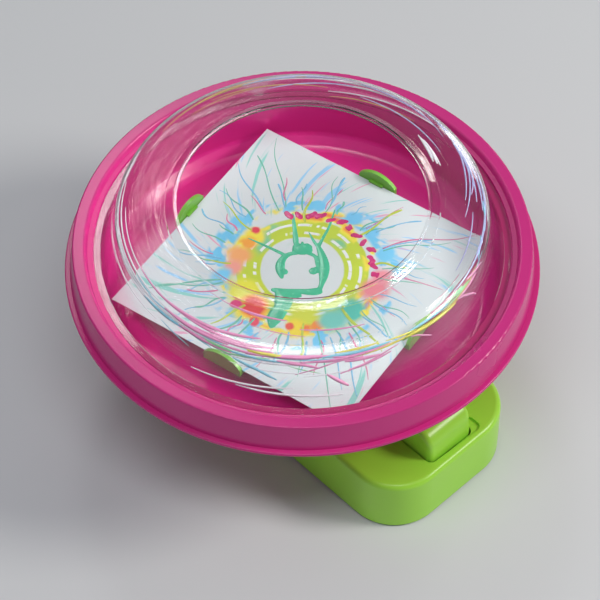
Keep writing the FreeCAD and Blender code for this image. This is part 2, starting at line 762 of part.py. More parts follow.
def build_drive_rack():
    body = new_body("drive_rack")
    pitch_line = FIRST_AXLE[0] - dims.module_size * dims.pinion_teeth / 2
    root_line = pitch_line - dims.dedendum
    bar = box_corners(-dims.rack_back, root_line, -dims.rack_outer_end, -dims.rack_inner_end)
    pad(body, polygon_sketch(body, "XY_Plane", bar, dims.rack_bottom), dims.rack_face)
    eye = box_corners(Size.of(-6), Size.of(6), -dims.rack_outer_end, -(dims.rack_outer_end - 11.5))
    pad(body, polygon_sketch(body, "XY_Plane", eye, dims.rack_bottom), dims.rack_face)
    round_edges(body, lambda e: upright_edge(e) and near(abs(e.Vertexes[0].X), 6), 1.5)
    half_slot = dims.toe_radius + 0.15
    slot = box_corners(-(dims.toe_width / 2 + 0.4), dims.toe_width / 2 + 0.4,
                       -dims.pivot_reach - half_slot, -dims.pivot_reach + half_slot)
    pocket(body, polygon_sketch(body, "XY_Plane", slot, dims.rack_bottom - 1.0), dims.rack_face + 2.0)
    pitch = math.pi * dims.module_size
    half_top = (dims.module_size * math.pi / 2 - dims.tooth_thinning) / 2 - dims.addendum * math.tan(PRESSURE_ANGLE)
    half_root = half_top + (dims.addendum + dims.dedendum) * math.tan(PRESSURE_ANGLE)
    tip_line = pitch_line + dims.addendum
    for index in range(int(dims.rack_teeth.value)):
        centre = FIRST_AXLE[1] - pitch * (index - 1)
        tooth = [(root_line - 0.3, centre - half_root), (root_line, centre - half_root), (tip_line, centre - half_top),
                 (tip_line, centre + half_top), (root_line, centre + half_root), (root_line - 0.3, centre + half_root)]
        pad(body, polygon_sketch(body, "XY_Plane", tooth, dims.rack_bottom), dims.rack_face)
    return body


def lighten_wheel(body, teeth, bottom, face, hub_radius):
    """Round holes through a wheel's web, which keep the moulding thin."""
    middle = (root_of(teeth).value + hub_radius - 1.0) / 2
    hole_radius = (root_of(teeth).value - hub_radius - 4.5) / 2
    hole = circle_sketch(body, Size.of(hole_radius), bottom - 1.0, [(middle, 0)])
    repeat_round(body, pocket(body, hole, face + 2.0), 5)


def build_first_gear():
    body = new_body("first_gear", *FIRST_AXLE)
    bore = dims.axle_radius + dims.turning_slack
    wheel_low, wheel_high = dims.upper_wheel_bottom, dims.upper_wheel_bottom + dims.upper_wheel_face
    pinion_top = dims.rack_bottom + dims.rack_face
    revolve(body, [(bore, dims.boss_top + 0.2), (2.7, dims.boss_top + 0.2), (2.7, wheel_low),
                   (root_of(FIRST_WHEEL), wheel_low), (root_of(FIRST_WHEEL), wheel_high), (4.4, wheel_high),
                   (4.4, dims.rack_bottom), (root_of(PINION), dims.rack_bottom), (root_of(PINION), pinion_top),
                   (2.7, pinion_top), (2.7, dims.plate_bottom - 0.2), (bore, dims.plate_bottom - 0.2)])
    add_tooth(body, FIRST_WHEEL, dims.upper_wheel_bottom, dims.upper_wheel_face, 0)
    add_tooth(body, PINION, dims.rack_bottom, dims.rack_face, FIRST_PINION_PHASE)
    lighten_wheel(body, FIRST_WHEEL, dims.upper_wheel_bottom, dims.upper_wheel_face, 4.8)
    return body


def build_second_gear():
    body = new_body("second_gear", *SECOND_AXLE)
    bore = dims.axle_radius + dims.turning_slack
    wheel_low, wheel_high = dims.wheel_bottom, dims.wheel_bottom + dims.wheel_face
    pinion_top = dims.upper_wheel_bottom + dims.upper_wheel_face + 0.4
    revolve(body, [(bore, dims.boss_top + 0.2), (3.2, dims.boss_top + 0.2), (3.2, wheel_low),
                   (root_of(SECOND_WHEEL), wheel_low), (root_of(SECOND_WHEEL), wheel_high),
                   (root_of(PINION), wheel_high), (root_of(PINION), pinion_top), (3.2, pinion_top),
                   (3.2, dims.plate_bottom - 0.2), (bore, dims.plate_bottom - 0.2)])
    add_tooth(body, SECOND_WHEEL, wheel_low, dims.wheel_face, 0)
    add_tooth(body, PINION, wheel_high - 0.2, pinion_top - wheel_high + 0.2, SECOND_PINION_PHASE)
    lighten_wheel(body, SECOND_WHEEL, dims.wheel_bottom, dims.wheel_face, 7.0)
    return body


def build_clutch_gear():
    body = new_body("clutch_gear")
    bore = dims.spindle_radius + dims.turning_slack
    low, pinion_top = dims.boss_top + 0.2, dims.wheel_bottom + dims.wheel_face
    cup, floor, top = dims.cup_radius, dims.cup_floor, dims.cup_top
    rim = cup - 1.4
    revolve(body, [(bore, low), (4.4, low), (4.4, dims.wheel_bottom), (root_of(PINION), dims.wheel_bottom),
                   (root_of(PINION), pinion_top), (6.5, pinion_top + 0.4), (6.5, floor), (cup, floor), (cup, top),
                   (rim, top), (rim, floor + 1.4), (bore, floor + 1.4)])
    add_tooth(body, PINION, dims.wheel_bottom, dims.wheel_face, CLUTCH_PINION_PHASE)
    depth = 1.4
    step = 2 * math.pi / dims.ratchet_teeth.value
    inner, outer = rim.value - depth, rim.value + 0.4
    tooth = [(inner, 0), (outer, 0), (outer * math.cos(step * 0.85), outer * math.sin(step * 0.85))]
    sketch = polygon_sketch(body, "XY_Plane", tooth, floor + 1.0)
    repeat_round(body, pad(body, sketch, top - floor - 1.0), dims.ratchet_teeth)
    return body


def build_pawl_hub():
    body = new_body("pawl_hub")
    bore = dims.spindle_radius + dims.press_slack
    low, top = dims.cup_floor + 1.7, dims.cup_top - 0.2
    revolve(body, [(bore, low), (5.6, low), (5.6, top), (bore, top)])
    arm = [(5.0, -2.6), (9.0, 1.6), (10.1, 3.9), (8.4, 4.6), (7.6, 2.8), (4.4, -0.6)]
    sketch = polygon_sketch(body, "XY_Plane", arm, low)
    repeat_round(body, pad(body, sketch, top - low), 3)
    return body


# ---- rotor ----

def build_spindle():
    body = new_body("spindle")
    radius, clip = dims.spindle_radius, dims.clip_height
    groove, half = radius - 0.6, 0.45
    bottom, top = COVER_TOP + 0.05, dims.spindle_top
    revolve(body, [(0, bottom), (radius - 0.4, bottom), (radius, bottom + 0.4), (radius, clip - half),
                   (groove, clip - half), (groove, clip + half), (radius, clip + half), (radius, top - 0.4),
                   (radius - 0.4, top), (0, top)])
    flat = box_corners(radius - 0.7, radius + 1.0, Size.of(-4), Size.of(4))
    pocket(body, polygon_sketch(body, "XY_Plane", flat, top - 7.0), Size.of(9.0))
    return body


def build_spindle_clip():
    body = new_body("spindle_clip")
    groove, outer, half = dims.spindle_radius - 0.58, 5.2, 0.4
    low = dims.clip_height - half
    revolve(body, [(groove, low), (outer, low), (outer, low + half * 2), (groove, low + half * 2)])
    gap = box_corners(Size.of(0), Size.of(7), Size.of(-1.9), Size.of(1.9))
    pocket(body, polygon_sketch(body, "XY_Plane", gap, low - 0.5), Size.of(2.0))
    return body


def build_spin_plate():
    body = new_body("spin_plate")
    bind(body, "Placement.Rotation.Angle", dims.plate_turn)
    top, web = dims.plate_top, dims.plate_web
    bottom = top - web
    socket = dims.spindle_radius + dims.press_slack
    skirt = dims.collar_height - 4.5
    revolve(body, [(0, top), (dims.plate_radius, top), (dims.plate_radius, bottom), (11.6, bottom), (11.2, skirt),
                   (9.2, skirt), (9.2, bottom - 1.6), (5.4, bottom - 1.6), (5.4, dims.collar_height + 0.6),
                   (socket, dims.collar_height + 0.6), (socket, dims.spindle_top), (0, dims.spindle_top)])
    half, reach = dims.lobe_width / 2, dims.paper_side / 2 + dims.tab_gap + dims.tab_thickness
    lobe = polygon_sketch(body, "XY_Plane", box_corners(dims.plate_radius - 8.0, reach, -half, half), bottom)
    repeat_round(body, pad(body, lobe, web), 4)
    tab = new_sketch(body, "YZ_Plane", reach - dims.tab_thickness)
    tab.addGeometry(tab_outline(half.value, bottom.value, (top + dims.tab_height).value), False)
    repeat_about_z(body, pad(body, tab, dims.tab_thickness))
    nib_low = top + dims.paper_thickness + 0.25
    nib = polygon_sketch(body, "XY_Plane", box_corners(reach - dims.tab_thickness - 1.5, reach - 1.0, -4.0, 4.0),
                         nib_low)
    repeat_round(body, pad(body, nib, Size.of(1.0)), 4)
    return body


def tab_outline(half, low, high):
    """A tab with straight sides and a domed top."""
    shoulder = low + (high - low) * 0.45
    return [
        Part.LineSegment(Vector(-half, low, 0), Vector(half, low, 0)),
        Part.LineSegment(Vector(half, low, 0), Vector(half, shoulder, 0)),
        Part.Arc(Vector(half, shoulder, 0), Vector(0, high, 0), Vector(-half, shoulder, 0)),
        Part.LineSegment(Vector(-half, shoulder, 0), Vector(-half, low, 0)),
    ]


def repeat_about_z(body, feature):
    """Repeats a feature whose sketch doesn't face up, about the body's own Z axis."""
    axis = next(o for o in body.Origin.OriginFeatures if o.Role == "Z_Axis")
    pattern = body.newObject("PartDesign::PolarPattern", body.Label + "_pattern")
    pattern.Originals = [feature]
    pattern.Axis = (axis, [""])
    pattern.Angle = 360
    pattern.Occurrences = 4
    body.Tip = pattern
    return settle(pattern)


def build_paper_card():
    paper = doc.addObject("Part::Box", "paper_card")
    paper.Label = "paper_card"
    side = dims.paper_side
    bind(paper, "Length", side)
    bind(paper, "Width", side)
    bind(paper, "Height", dims.paper_thickness)
    turn = Rotation(Vector(0, 0, 1), dims.plate_turn.value)
    corner = turn.multVec(Vector(-side.value / 2, -side.value / 2, 0))
    paper.Placement = Placement(Vector(corner.x, corner.y, dims.plate_top.value), turn)
    return paper


# ---- tray and shield ----

def build_splash_tray():
    body = new_body("splash_tray")
    wall, floor = dims.tray_wall, dims.bowl_floor
    under = dims.turret_top
    bore, collar = dims.spindle_radius + 1.0, 7.6
    lip_top = dims.lip_bottom + dims.lip_thickness
    revolve(body, [
        (bore, dims.collar_height), (collar, dims.collar_height), (collar, floor),
        (dims.bowl_radius - 6.0, floor), (dims.bowl_radius, floor + 6.0),
        (dims.seat_radius, dims.seat_height), (dims.seat_outer, dims.seat_height),
        (dims.seat_outer + 0.2, dims.ledge_height), (dims.ledge_outer, dims.ledge_height + 0.2),
        (dims.ring_inner, dims.ring_top), (dims.ring_radius, dims.ring_top),
        (dims.skirt_radius, lip_top), (dims.lip_radius, lip_top), (dims.lip_radius, dims.lip_bottom),
        (dims.skirt_radius - 1.6, dims.lip_bottom), (dims.ring_radius - wall, dims.ring_top - wall),
        (dims.ring_inner + 0.6, dims.ring_top - wall), (dims.ledge_outer, dims.ledge_height - wall),
        (dims.seat_outer - 0.6, dims.seat_height - wall), (dims.seat_radius + wall, dims.seat_height - wall),
        (dims.bowl_radius + wall, floor + 5.0), (dims.bowl_radius - 5.0, under), (bore, under),
    ])
    round_edges(body, ring_edge(dims.bowl_radius - 6.0, floor), 5.0)
    round_edges(body, ring_edge(dims.bowl_radius, floor + 6.0), 4.0)
    round_edges(body, ring_edge(dims.ring_radius, dims.ring_top), 0.9)
    round_edges(body, ring_edge(dims.ring_inner, dims.ring_top), 1.5)
    round_edges(body, ring_edge(dims.lip_radius, lip_top), 0.6)
    round_edges(body, ring_edge(collar, dims.collar_height), 0.8)
    peg_top = under + 1.0
    pad(body, circle_sketch(body, Size.of(3.5), under - dims.turret_wall, PEGS), dims.turret_wall + peg_top - under)
    pocket(body, circle_sketch(body, dims.screw_hole, under - dims.turret_wall, PEGS), Size.of(4.2))
    return body


def build_splash_shield():
    body = new_body("splash_shield")
    wall, seat = dims.shield_wall, dims.seat_height
    foot, shoulder, top = dims.shield_foot, dims.shoulder_radius, dims.mouth_height
    mouth, rim, rim_top = dims.mouth_radius, dims.mouth_rim, dims.mouth_height + dims.mouth_lip
    inner_top, drop = top - wall, dims.annulus_drop
    revolve(body, [
        (foot - wall, seat), (dims.shield_flange, seat), (dims.shield_flange, seat + wall), (foot, seat + wall),
        (shoulder, dims.shoulder_height), (dims.top_annulus, top - drop), (mouth + rim, top),
        (mouth + 1.8, rim_top), (mouth, rim_top), (mouth, rim_top - wall), (mouth + 1.4, rim_top - wall),
        (mouth + rim - 0.4, inner_top), (dims.top_annulus - 0.4, inner_top - drop),
        (shoulder - wall, dims.shoulder_height - 0.4),
    ])
    for radius, height, size in (
        (shoulder, dims.shoulder_height, 6.0),
        (dims.top_annulus, top - drop, 4.0),
        (shoulder - wall, dims.shoulder_height - 0.4, 5.0),
        (dims.top_annulus - 0.4, inner_top - drop, 3.0),
        (mouth + rim, top, 2.0),
        (mouth + 1.8, rim_top, 1.0),
    ):
        round_edges(body, ring_edge(radius, height), size)
    return body


def check_document():
    doc.recompute()
    for item in doc.Objects:
        if {"Invalid", "Error"} & set(item.State):
            raise ValueError("%s is in state %s" % (item.Label, item.State))


def export_nodes(labels):
    os.makedirs("parts", exist_ok=True)
    for label in labels:
        node = doc.getObjectsByLabel(label)[0]
        if node.Shape.isNull() or not node.Shape.isValid():
            raise ValueError(label + " has no valid shape")
        node.Shape.exportStep("parts/%s.step" % label)
        print("%-18s solids %d  volume %.0f" % (label, len(node.Shape.Solids), node.Shape.Volume))


build_base_housing()
build_bottom_cover()
build_rubber_feet()
build_screws()
build_gear_plate()
build_gear_axles()
build_bushes()
build_press_lever()
build_lever_pin()
build_return_spring()
build_drive_rack()
build_first_gear()
build_second_gear()
build_clutch_gear()
build_pawl_hub()
build_spindle()
build_spindle_clip()
build_spin_plate()
build_paper_card()
build_splash_tray()
build_splash_shield()
check_document()
export_nodes([
    "base_housing", "bottom_cover", "rubber_feet", "cover_screws", "gear_plate", "gear_plate_screws",
    "tray_screws", "gear_axles", "lower_bush", "upper_bush", "splash_tray", "lever_pin",
    "press_lever", "return_spring", "drive_rack", "first_gear", "second_gear", "clutch_gear",
    "pawl_hub", "spindle", "spindle_clip", "spin_plate", "paper_card", "splash_shield",
])
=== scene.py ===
import bpy
import math
import random
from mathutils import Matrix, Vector


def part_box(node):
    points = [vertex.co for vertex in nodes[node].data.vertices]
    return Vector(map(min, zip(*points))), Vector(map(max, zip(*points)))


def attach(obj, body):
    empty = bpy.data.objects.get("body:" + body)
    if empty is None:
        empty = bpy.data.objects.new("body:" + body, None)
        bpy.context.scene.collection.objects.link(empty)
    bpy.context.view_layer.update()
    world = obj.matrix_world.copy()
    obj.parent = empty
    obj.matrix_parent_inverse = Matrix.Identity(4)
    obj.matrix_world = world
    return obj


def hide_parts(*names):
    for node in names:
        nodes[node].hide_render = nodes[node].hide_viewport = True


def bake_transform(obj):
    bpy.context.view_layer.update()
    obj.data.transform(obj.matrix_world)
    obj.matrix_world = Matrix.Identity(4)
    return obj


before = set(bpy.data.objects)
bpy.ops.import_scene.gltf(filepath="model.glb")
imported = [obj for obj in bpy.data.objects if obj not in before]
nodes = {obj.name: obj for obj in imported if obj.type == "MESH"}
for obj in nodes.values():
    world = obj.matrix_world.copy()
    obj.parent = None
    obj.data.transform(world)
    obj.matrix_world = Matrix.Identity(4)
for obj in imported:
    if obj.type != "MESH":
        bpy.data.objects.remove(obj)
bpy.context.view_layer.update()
print("frame loaded with", len(nodes), "nodes")

mm = 0.001


# Shader helpers: most add a node and join what feeds it.

def addShaderNode(tree, kind, feeds=None, **settings):
    made = tree.nodes.new(kind)
    for key, value in settings.items():
        setattr(made, key, value)
    for socket, value in (feeds or {}).items():
        if isinstance(value, bpy.types.NodeSocket):
            tree.links.new(value, made.inputs[socket])
        else:
            made.inputs[socket].default_value = value
    return made


def newMaterial(name):
    material = bpy.data.materials.new(name)
    material.use_nodes = True
    tree = material.node_tree
    return material, tree, tree.nodes["Principled BSDF"]


def joinTo(tree, shader, **feeds):
    for socket, value in feeds.items():
        tree.links.new(value, shader.inputs[socket.replace("_", " ")])


def mixColours(tree, share, first, second):
    feeds = {0: share, 6: first, 7: second}
    return addShaderNode(tree, "ShaderNodeMix", feeds, data_type="RGBA").outputs[2]


def toned(colour, level):
    return [channel * level for channel in colour[:3]] + [1]


def calculate(tree, operation, first, second):
    feeds = {0: first, 1: second}
    return addShaderNode(tree, "ShaderNodeMath", feeds, operation=operation).outputs[0]


def stretchRange(tree, value, low, high, newLow, newHigh):
    feeds = {"Value": value, "From Min": low, "From Max": high, "To Min": newLow, "To Max": newHigh}
    return addShaderNode(tree, "ShaderNodeMapRange", feeds).outputs["Result"]


def stretchNoise(tree, noise, ends):
    # Noise seldom leaves the middle of its range, so that middle is stretched to the ends.
    usualLow, usualHigh = 0.3, 0.7
    return stretchRange(tree, noise, usualLow, usualHigh, *ends)


def smoothStep(tree, value, low, high):
    feeds = {"Value": value, "From Min": low, "From Max": high}
    step = addShaderNode(tree, "ShaderNodeMapRange", feeds, interpolation_type="SMOOTHSTEP")
    return step.outputs["Result"]


def noiseOf(tree, place, scale, detail=2.0):
    feeds = {"Vector": place, "Scale": scale, "Detail": detail}
    return addShaderNode(tree, "ShaderNodeTexNoise", feeds).outputs["Fac"]


def bumpOf(tree, height, strength, distance):
    feeds = {"Height": height, "Strength": strength, "Distance": distance}
    return addShaderNode(tree, "ShaderNodeBump", feeds).outputs["Normal"]


def objectPlace(tree):
    return addShaderNode(tree, "ShaderNodeTexCoord").outputs["Object"]


def aroundTheAxis(tree):
    # Millimetres from the spin axis, the direction away from it, and millimetres above the ground.
    x, y, z = addShaderNode(tree, "ShaderNodeSeparateXYZ", {0: objectPlace(tree)}).outputs
    flat = addShaderNode(tree, "ShaderNodeCombineXYZ", {0: x, 1: y}).outputs[0]
    radius = addShaderNode(tree, "ShaderNodeVectorMath", {0: flat}, operation="LENGTH").outputs["Value"]
    outward = addShaderNode(tree, "ShaderNodeVectorMath", {0: flat}, operation="NORMALIZE").outputs[0]
    return calculate(tree, "DIVIDE", radius, mm), outward, calculate(tree, "DIVIDE", z, mm)


def ringNoise(tree, outward, around, along, detail=2.0):
    # Noise without a seam: around sets how often it changes round the axis, along is its other coordinate.
    feeds = {0: outward, "Scale": around}
    turn = addShaderNode(tree, "ShaderNodeVectorMath", feeds, operation="SCALE").outputs[0]
    lift = addShaderNode(tree, "ShaderNodeCombineXYZ", {2: along}).outputs[0]
    place = addShaderNode(tree, "ShaderNodeVectorMath", {0: turn, 1: lift}, operation="ADD").outputs[0]
    return noiseOf(tree, place, 1.0, detail)


def mouldedPlastic(name, look):
    material, tree, shader = newMaterial(name)
    place = objectPlace(tree)
    flow = noiseOf(tree, place, look["flowScale"], detail=3)
    dark, light = toned(look["colour"], look["darkest"]), toned(look["colour"], look["lightest"])
    colour = mixColours(tree, flow, dark, light)
    rough = stretchNoise(tree, noiseOf(tree, place, look["smearScale"], detail=4), look["roughness"])
    grain = noiseOf(tree, place, look["skinScale"])
    skin = bumpOf(tree, grain, look["skinStrength"], look["skinDepth"])
    joinTo(tree, shader, Base_Color=colour, Roughness=rough, Normal=skin)
    shader.inputs["IOR"].default_value = look["ior"]
    return material


def brushedMetal(name, look):
    material, tree, shader = newMaterial(name)
    place = objectPlace(tree)
    tone = noiseOf(tree, place, look["toneScale"], detail=3)
    colour = mixColours(tree, tone, look["dark"], look["light"])
    rough = stretchNoise(tree, noiseOf(tree, place, look["grainScale"], detail=3), look["roughness"])
    marks = noiseOf(tree, place, look["grainScale"])
    grain = bumpOf(tree, marks, look["grainStrength"], look["grainDepth"])
    joinTo(tree, shader, Base_Color=colour, Roughness=rough, Normal=grain)
    shader.inputs["Metallic"].default_value = 1.0
    return material


limeLook = {
    "colour": (0.38, 0.78, 0.06), "lightest": 1.05, "darkest": 0.93, "flowScale": 14.0,
    "smearScale": 30.0, "roughness": (0.27, 0.32),
    "skinScale": 1500.0, "skinStrength": 0.25, "skinDepth": 0.00003, "ior": 1.5,
}
magentaLook = {
    "colour": (0.60, 0.024, 0.22), "lightest": 1.06, "darkest": 0.92, "flowScale": 10.0,
    "smearScale": 16.0, "roughness": (0.255, 0.275),
    "skinScale": 1300.0, "skinStrength": 0.2, "skinDepth": 0.00003, "ior": 1.48,
}
clipGreenLook = dict(limeLook, colour=(0.16, 0.44, 0.045))
gearLook = {
    "colour": (0.80, 0.80, 0.76), "lightest": 1.02, "darkest": 0.95, "flowScale": 60.0,
    "smearScale": 80.0, "roughness": (0.35, 0.48),
    "skinScale": 3000.0, "skinStrength": 0.2, "skinDepth": 0.00002, "ior": 1.48,
}
naturalLook = dict(gearLook, colour=(0.72, 0.68, 0.58))
rubberLook = {
    "colour": (0.03, 0.03, 0.032), "lightest": 1.3, "darkest": 0.8, "flowScale": 90.0,
    "smearScale": 120.0, "roughness": (0.62, 0.8),
    "skinScale": 2600.0, "skinStrength": 0.5, "skinDepth": 0.00005, "ior": 1.45,
}
steelLook = {
    "dark": (0.42, 0.42, 0.44, 1), "light": (0.62, 0.62, 0.63, 1), "toneScale": 200.0,
    "roughness": (0.22, 0.38), "grainScale": 1800.0, "grainStrength": 0.2, "grainDepth": 0.00002,
}
bronzeLook = {
    "dark": (0.45, 0.27, 0.10, 1), "light": (0.66, 0.44, 0.20, 1), "toneScale": 300.0,
    "roughness": (0.35, 0.5), "grainScale": 2400.0, "grainStrength": 0.2, "grainDepth": 0.00002,
}
shieldLook = {
    "tint": (0.975, 0.985, 0.99, 1), "roughness": 0.0, "ior": 1.28, "coatIor": 1.5,
    # Roughness of the coat off and on the shoulder, and the millimetres under the top at which the
    # shoulder's dull band starts, is full, begins to fade and ends.
    "coatRoughness": (0.05, 0.29), "shoulderUnderTop": (13.0, 9.5, 7.6, 6.2),
    "rippleAround": 1.5, "rippleAcross": 0.55, "rippleStrength": 0.5, "rippleDepth": 0.0006,
    "lampTint": (0.97, 0.975, 0.975, 1),  # on each face, for the light that falls through
}
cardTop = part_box("paper_card")[1].z
cardLook = {
    "colour": (0.60, 0.66, 0.69, 1), "shade": (0.565, 0.625, 0.66, 1), "roughness": (0.45, 0.6),
    "fibreScale": 900.0, "fibreStrength": 0.2, "fibreDepth": 0.00003,
    "wander": 2.0, "ragged": 9.0, "wanderScale": 70.0,  # how far the edges of layers and of pools wander
    "swirl": 0.010, "swirlFrom": 40.0,  # radians that each millimetre beyond this radius lags behind
    # Soaked-in paint, layer on layer: radii in millimetres, edge, changes round the ring, changes outwards,
    # place in the noise, level it is cut at, softness of that cut, colour.
    "layers": (
        (21.5, 33.8, 0.5, 1.0, 0.05, 3.0, 0.20, 0.02, (0.47, 0.59, 0.05, 1)),
        (19.0, 42.0, 3.0, 1.0, 0.05, 41.0, 0.62, 0.06, (0.16, 0.50, 0.30, 1)),
        (31.5, 42.5, 1.2, 2.3, 0.10, 7.0, 0.50, 0.04, (0.76, 0.68, 0.07, 1)),
        (33.5, 41.0, 1.0, 2.3, 0.10, 7.0, 0.57, 0.04, (0.78, 0.30, 0.05, 1)),
        (34.5, 40.0, 0.8, 2.3, 0.10, 7.0, 0.63, 0.03, (0.62, 0.04, 0.08, 1)),
        (39.0, 50.0, 1.4, 4.4, 0.12, 19.0, 0.545, 0.05, (0.14, 0.50, 0.76, 1)),
        (40.0, 96.0, 3.0, 19.0, 0.02, 23.0, 0.66, 0.03, (0.22, 0.56, 0.52, 1)),
        (41.0, 90.0, 3.0, 17.0, 0.03, 29.0, 0.65, 0.03, (0.26, 0.54, 0.78, 1)),
        (42.0, 84.0, 3.0, 18.0, 0.03, 31.0, 0.69, 0.03, (0.66, 0.30, 0.46, 1)),
        (23.7, 25.3, 0.15, 3.6, 0.00, 37.0, 0.49, 0.02, (0.70, 0.735, 0.765, 1)),
        (28.9, 30.5, 0.15, 4.2, 0.00, 43.0, 0.50, 0.02, (0.70, 0.735, 0.765, 1)),
    ),
    # Pools, seen from the lever: millimetres to the right and onwards of the axis, radius, softness,
    # colour.
    "pools": (
        (-30.0, -14.0, 8.5, 3.5, (0.70, 0.70, 0.06, 1)),
        (-29.0, -26.5, 6.0, 2.5, (0.74, 0.66, 0.06, 1)),
        (-24.3, -23.9, 7.4, 1.6, (0.80, 0.34, 0.03, 1)),
        (-24.3, -23.9, 5.2, 1.3, (0.66, 0.035, 0.04, 1)),
        (-33.6, -22.0, 2.6, 0.6, (0.60, 0.02, 0.16, 1)),
        (-24.8, -33.0, 2.0, 0.7, (0.64, 0.05, 0.10, 1)),
        (0.0, -31.5, 8.0, 3.0, (0.56, 0.62, 0.04, 1)),
        (-2.5, -37.5, 6.0, 2.0, (0.78, 0.62, 0.03, 1)),
        (-6.5, -36.5, 2.7, 0.8, (0.68, 0.08, 0.05, 1)),
        (2.0, -37.0, 3.0, 1.2, (0.74, 0.17, 0.03, 1)),
        (6.5, -36.0, 2.6, 1.2, (0.74, 0.22, 0.03, 1)),
        (25.0, -26.0, 6.5, 2.5, (0.06, 0.46, 0.38, 1)),
        (15.0, -32.0, 6.5, 3.0, (0.14, 0.52, 0.46, 1)),
        (31.5, -27.5, 1.8, 0.6, (0.76, 0.66, 0.04, 1)),
        (36.5, -13.0, 7.0, 3.0, (0.72, 0.20, 0.25, 1)),
        (40.0, -4.5, 4.4, 2.0, (0.72, 0.26, 0.32, 1)),
        (-24.5, 22.0, 5.5, 2.5, (0.77, 0.66, 0.06, 1)),
        (-27.5, 17.5, 3.8, 1.6, (0.80, 0.34, 0.05, 1)),
        (-23.5, 26.0, 2.3, 0.7, (0.66, 0.04, 0.08, 1)),
        (-32.5, 10.0, 5.8, 3.0, (0.78, 0.36, 0.14, 1)),
        (-35.0, 1.5, 4.6, 2.5, (0.76, 0.32, 0.26, 1)),
        (-33.0, 32.0, 5.2, 2.0, (0.16, 0.52, 0.78, 1)),
        (-41.0, -3.5, 5.0, 2.0, (0.16, 0.52, 0.78, 1)),
        (9.5, 42.0, 3.8, 1.4, (0.16, 0.52, 0.78, 1)),
        (26.5, 33.5, 4.4, 1.4, (0.16, 0.50, 0.78, 1)),
        (36.5, 24.5, 4.6, 1.4, (0.16, 0.50, 0.78, 1)),
        (43.0, 10.5, 4.4, 1.4, (0.16, 0.52, 0.78, 1)),
    ),
}

facing = math.radians(-44)  # where someone beside the lever's end looks from


def seenFromTheLever(across, onwards):
    # The place on the object of a point seen so far to the right and so far onwards.
    return (across * math.cos(facing) - onwards * math.sin(facing),
            across * math.sin(facing) + onwards * math.cos(facing))


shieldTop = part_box("splash_shield")[1].z
shieldTopMm = shieldTop / mm


def clearPlastic(name, look):
    # Drawn sheet: what shows through is undisturbed, and only the gloss carries the fine ripples.
    material, tree, shader = newMaterial(name)
    radius, outward, height = aroundTheAxis(tree)
    along = calculate(tree, "MULTIPLY", calculate(tree, "SUBTRACT", radius, height), look["rippleAcross"])
    ripples = ringNoise(tree, outward, look["rippleAround"], along, detail=3)
    joinTo(tree, shader, Coat_Normal=bumpOf(tree, ripples, look["rippleStrength"], look["rippleDepth"]))
    # The drawing stretches the bend between wall and top, which leaves it slightly dull.
    low, lowFull, highFull, high = [shieldTopMm - under for under in look["shoulderUnderTop"]]
    rise, fall = smoothStep(tree, height, low, lowFull), smoothStep(tree, height, high, highFull)
    dull = stretchRange(tree, calculate(tree, "MULTIPLY", rise, fall), 0, 1, *look["coatRoughness"])
    joinTo(tree, shader, Coat_Roughness=dull)
    shader.inputs["Base Color"].default_value = look["tint"]
    shader.inputs["Roughness"].default_value = look["roughness"]
    shader.inputs["IOR"].default_value = look["ior"]
    shader.inputs["Transmission Weight"].default_value = 1.0
    shader.inputs["Coat Weight"].default_value = 1.0
    shader.inputs["Coat IOR"].default_value = look["coatIor"]
    lampsThrough = addShaderNode(tree, "ShaderNodeBsdfTransparent", {"Color": look["lampTint"]})
    ray = addShaderNode(tree, "ShaderNodeLightPath").outputs["Is Shadow Ray"]
    feeds = {0: ray, 1: shader.outputs[0], 2: lampsThrough.outputs[0]}
    chosen = addShaderNode(tree, "ShaderNodeMixShader", feeds).outputs[0]
    tree.links.new(chosen, tree.nodes["Material Output"].inputs["Surface"])
    return material


def paintedCard(name, look):
    material, tree, shader = newMaterial(name)
    place = objectPlace(tree)
    fibres = noiseOf(tree, place, look["fibreScale"], detail=4)
    colour = mixColours(tree, fibres, look["shade"], look["colour"])
    radius, outward, _ = aroundTheAxis(tree)
    wander = calculate(tree, "SUBTRACT", noiseOf(tree, place, look["wanderScale"], detail=3), 0.5)
    wandered = calculate(tree, "ADD", radius, calculate(tree, "MULTIPLY", wander, look["wander"]))
    beyond = calculate(tree, "SUBTRACT", wandered, look["swirlFrom"])
    feeds = {"Vector": outward, "Angle": calculate(tree, "MULTIPLY", beyond, look["swirl"])}
    swirled = addShaderNode(tree, "ShaderNodeVectorRotate", feeds, rotation_type="Z_AXIS").outputs[0]
    for inner, outer, edge, around, across, start, level, soft, paint in look["layers"]:
        along = calculate(tree, "ADD", calculate(tree, "MULTIPLY", radius, across), start)
        wet = smoothStep(tree, ringNoise(tree, swirled, around, along), level - soft, level + soft)
        rise = smoothStep(tree, wandered, inner - edge, inner + edge)
        fall = smoothStep(tree, wandered, outer + edge, outer - edge)
        share = calculate(tree, "MULTIPLY", wet, calculate(tree, "MULTIPLY", rise, fall))
        colour = mixColours(tree, share, colour, paint)
    for across, onwards, reach, soft, paint in look["pools"]:
        middle = seenFromTheLever(across * mm, onwards * mm)
        feeds = {0: place, 1: (*middle, cardTop)}
        away = addShaderNode(tree, "ShaderNodeVectorMath", feeds, operation="DISTANCE").outputs["Value"]
        spread = calculate(tree, "MULTIPLY", wander, look["ragged"])
        away = calculate(tree, "ADD", calculate(tree, "DIVIDE", away, mm), spread)
        colour = mixColours(tree, smoothStep(tree, away, reach + soft, reach - soft), colour, paint)
    rough = stretchNoise(tree, fibres, look["roughness"])
    felt = bumpOf(tree, fibres, look["fibreStrength"], look["fibreDepth"])
    joinTo(tree, shader, Base_Color=colour, Roughness=rough, Normal=felt)
    return material


